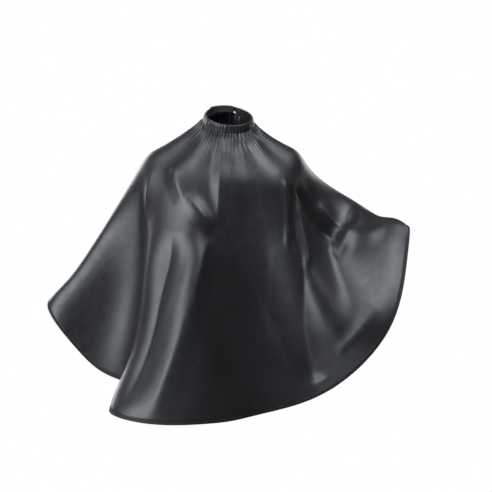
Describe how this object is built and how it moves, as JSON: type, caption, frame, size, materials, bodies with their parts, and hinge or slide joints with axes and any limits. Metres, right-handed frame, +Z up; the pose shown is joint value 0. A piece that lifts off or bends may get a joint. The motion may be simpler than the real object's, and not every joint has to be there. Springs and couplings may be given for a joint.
{
  "type": "barber cape",
  "caption": "Wide draped cloth cape with a gathered elasticated neck band, bound edges and a hook-and-loop tab that closes the back of the neck.",
  "frame": {"origin": "centre of the neck opening, at the seam where the cape body meets its neck band", "axes": "+Z up as it is worn, +X towards the wearer's left hand, the wearer faces -Y"},
  "size_m": [0.8432, 0.6367, 0.7055],
  "materials": {
    "taffeta": "satin, coated plain-weave taffeta",
    "binding_tape": "matte folded tape",
    "elastic": "matte ribbed elastic",
    "thread": "matte spun polyester",
    "hook_tape": "satin nylon hooks",
    "loop_tape": "matte napped nylon"
  },
  "bodies": {
    "cape": {"cape_body": "taffeta", "neck_casing": "taffeta", "neck_elastic": "elastic", "neck_seam_thread": "thread", "hem_binding": "binding_tape", "hem_thread": "thread", "back_edge_binding_left": "binding_tape", "back_edge_thread_left": "thread", "back_edge_binding_right": "binding_tape", "back_edge_thread_right": "thread", "elastic_bartack_left": "thread", "elastic_bartack_right": "thread", "loop_strip": "loop_tape", "loop_strip_thread": "thread", "closure_tab_root": "taffeta"},
    "closure_tab": {"closure_tab_lining": "taffeta", "closure_tab_face": "taffeta", "hook_strip": "hook_tape", "hook_strip_thread": "thread", "tab_edge_thread": "thread"}
  },
  "joints": [
    {"name": "tab_peel", "type": "hinge", "parent": "cape", "child": "closure_tab", "pos_m": [0.01817, 0.04597, 0.02952], "axis": [-0.0267, 0.612, -0.7904], "range_deg": [0, 150]}
  ]
}
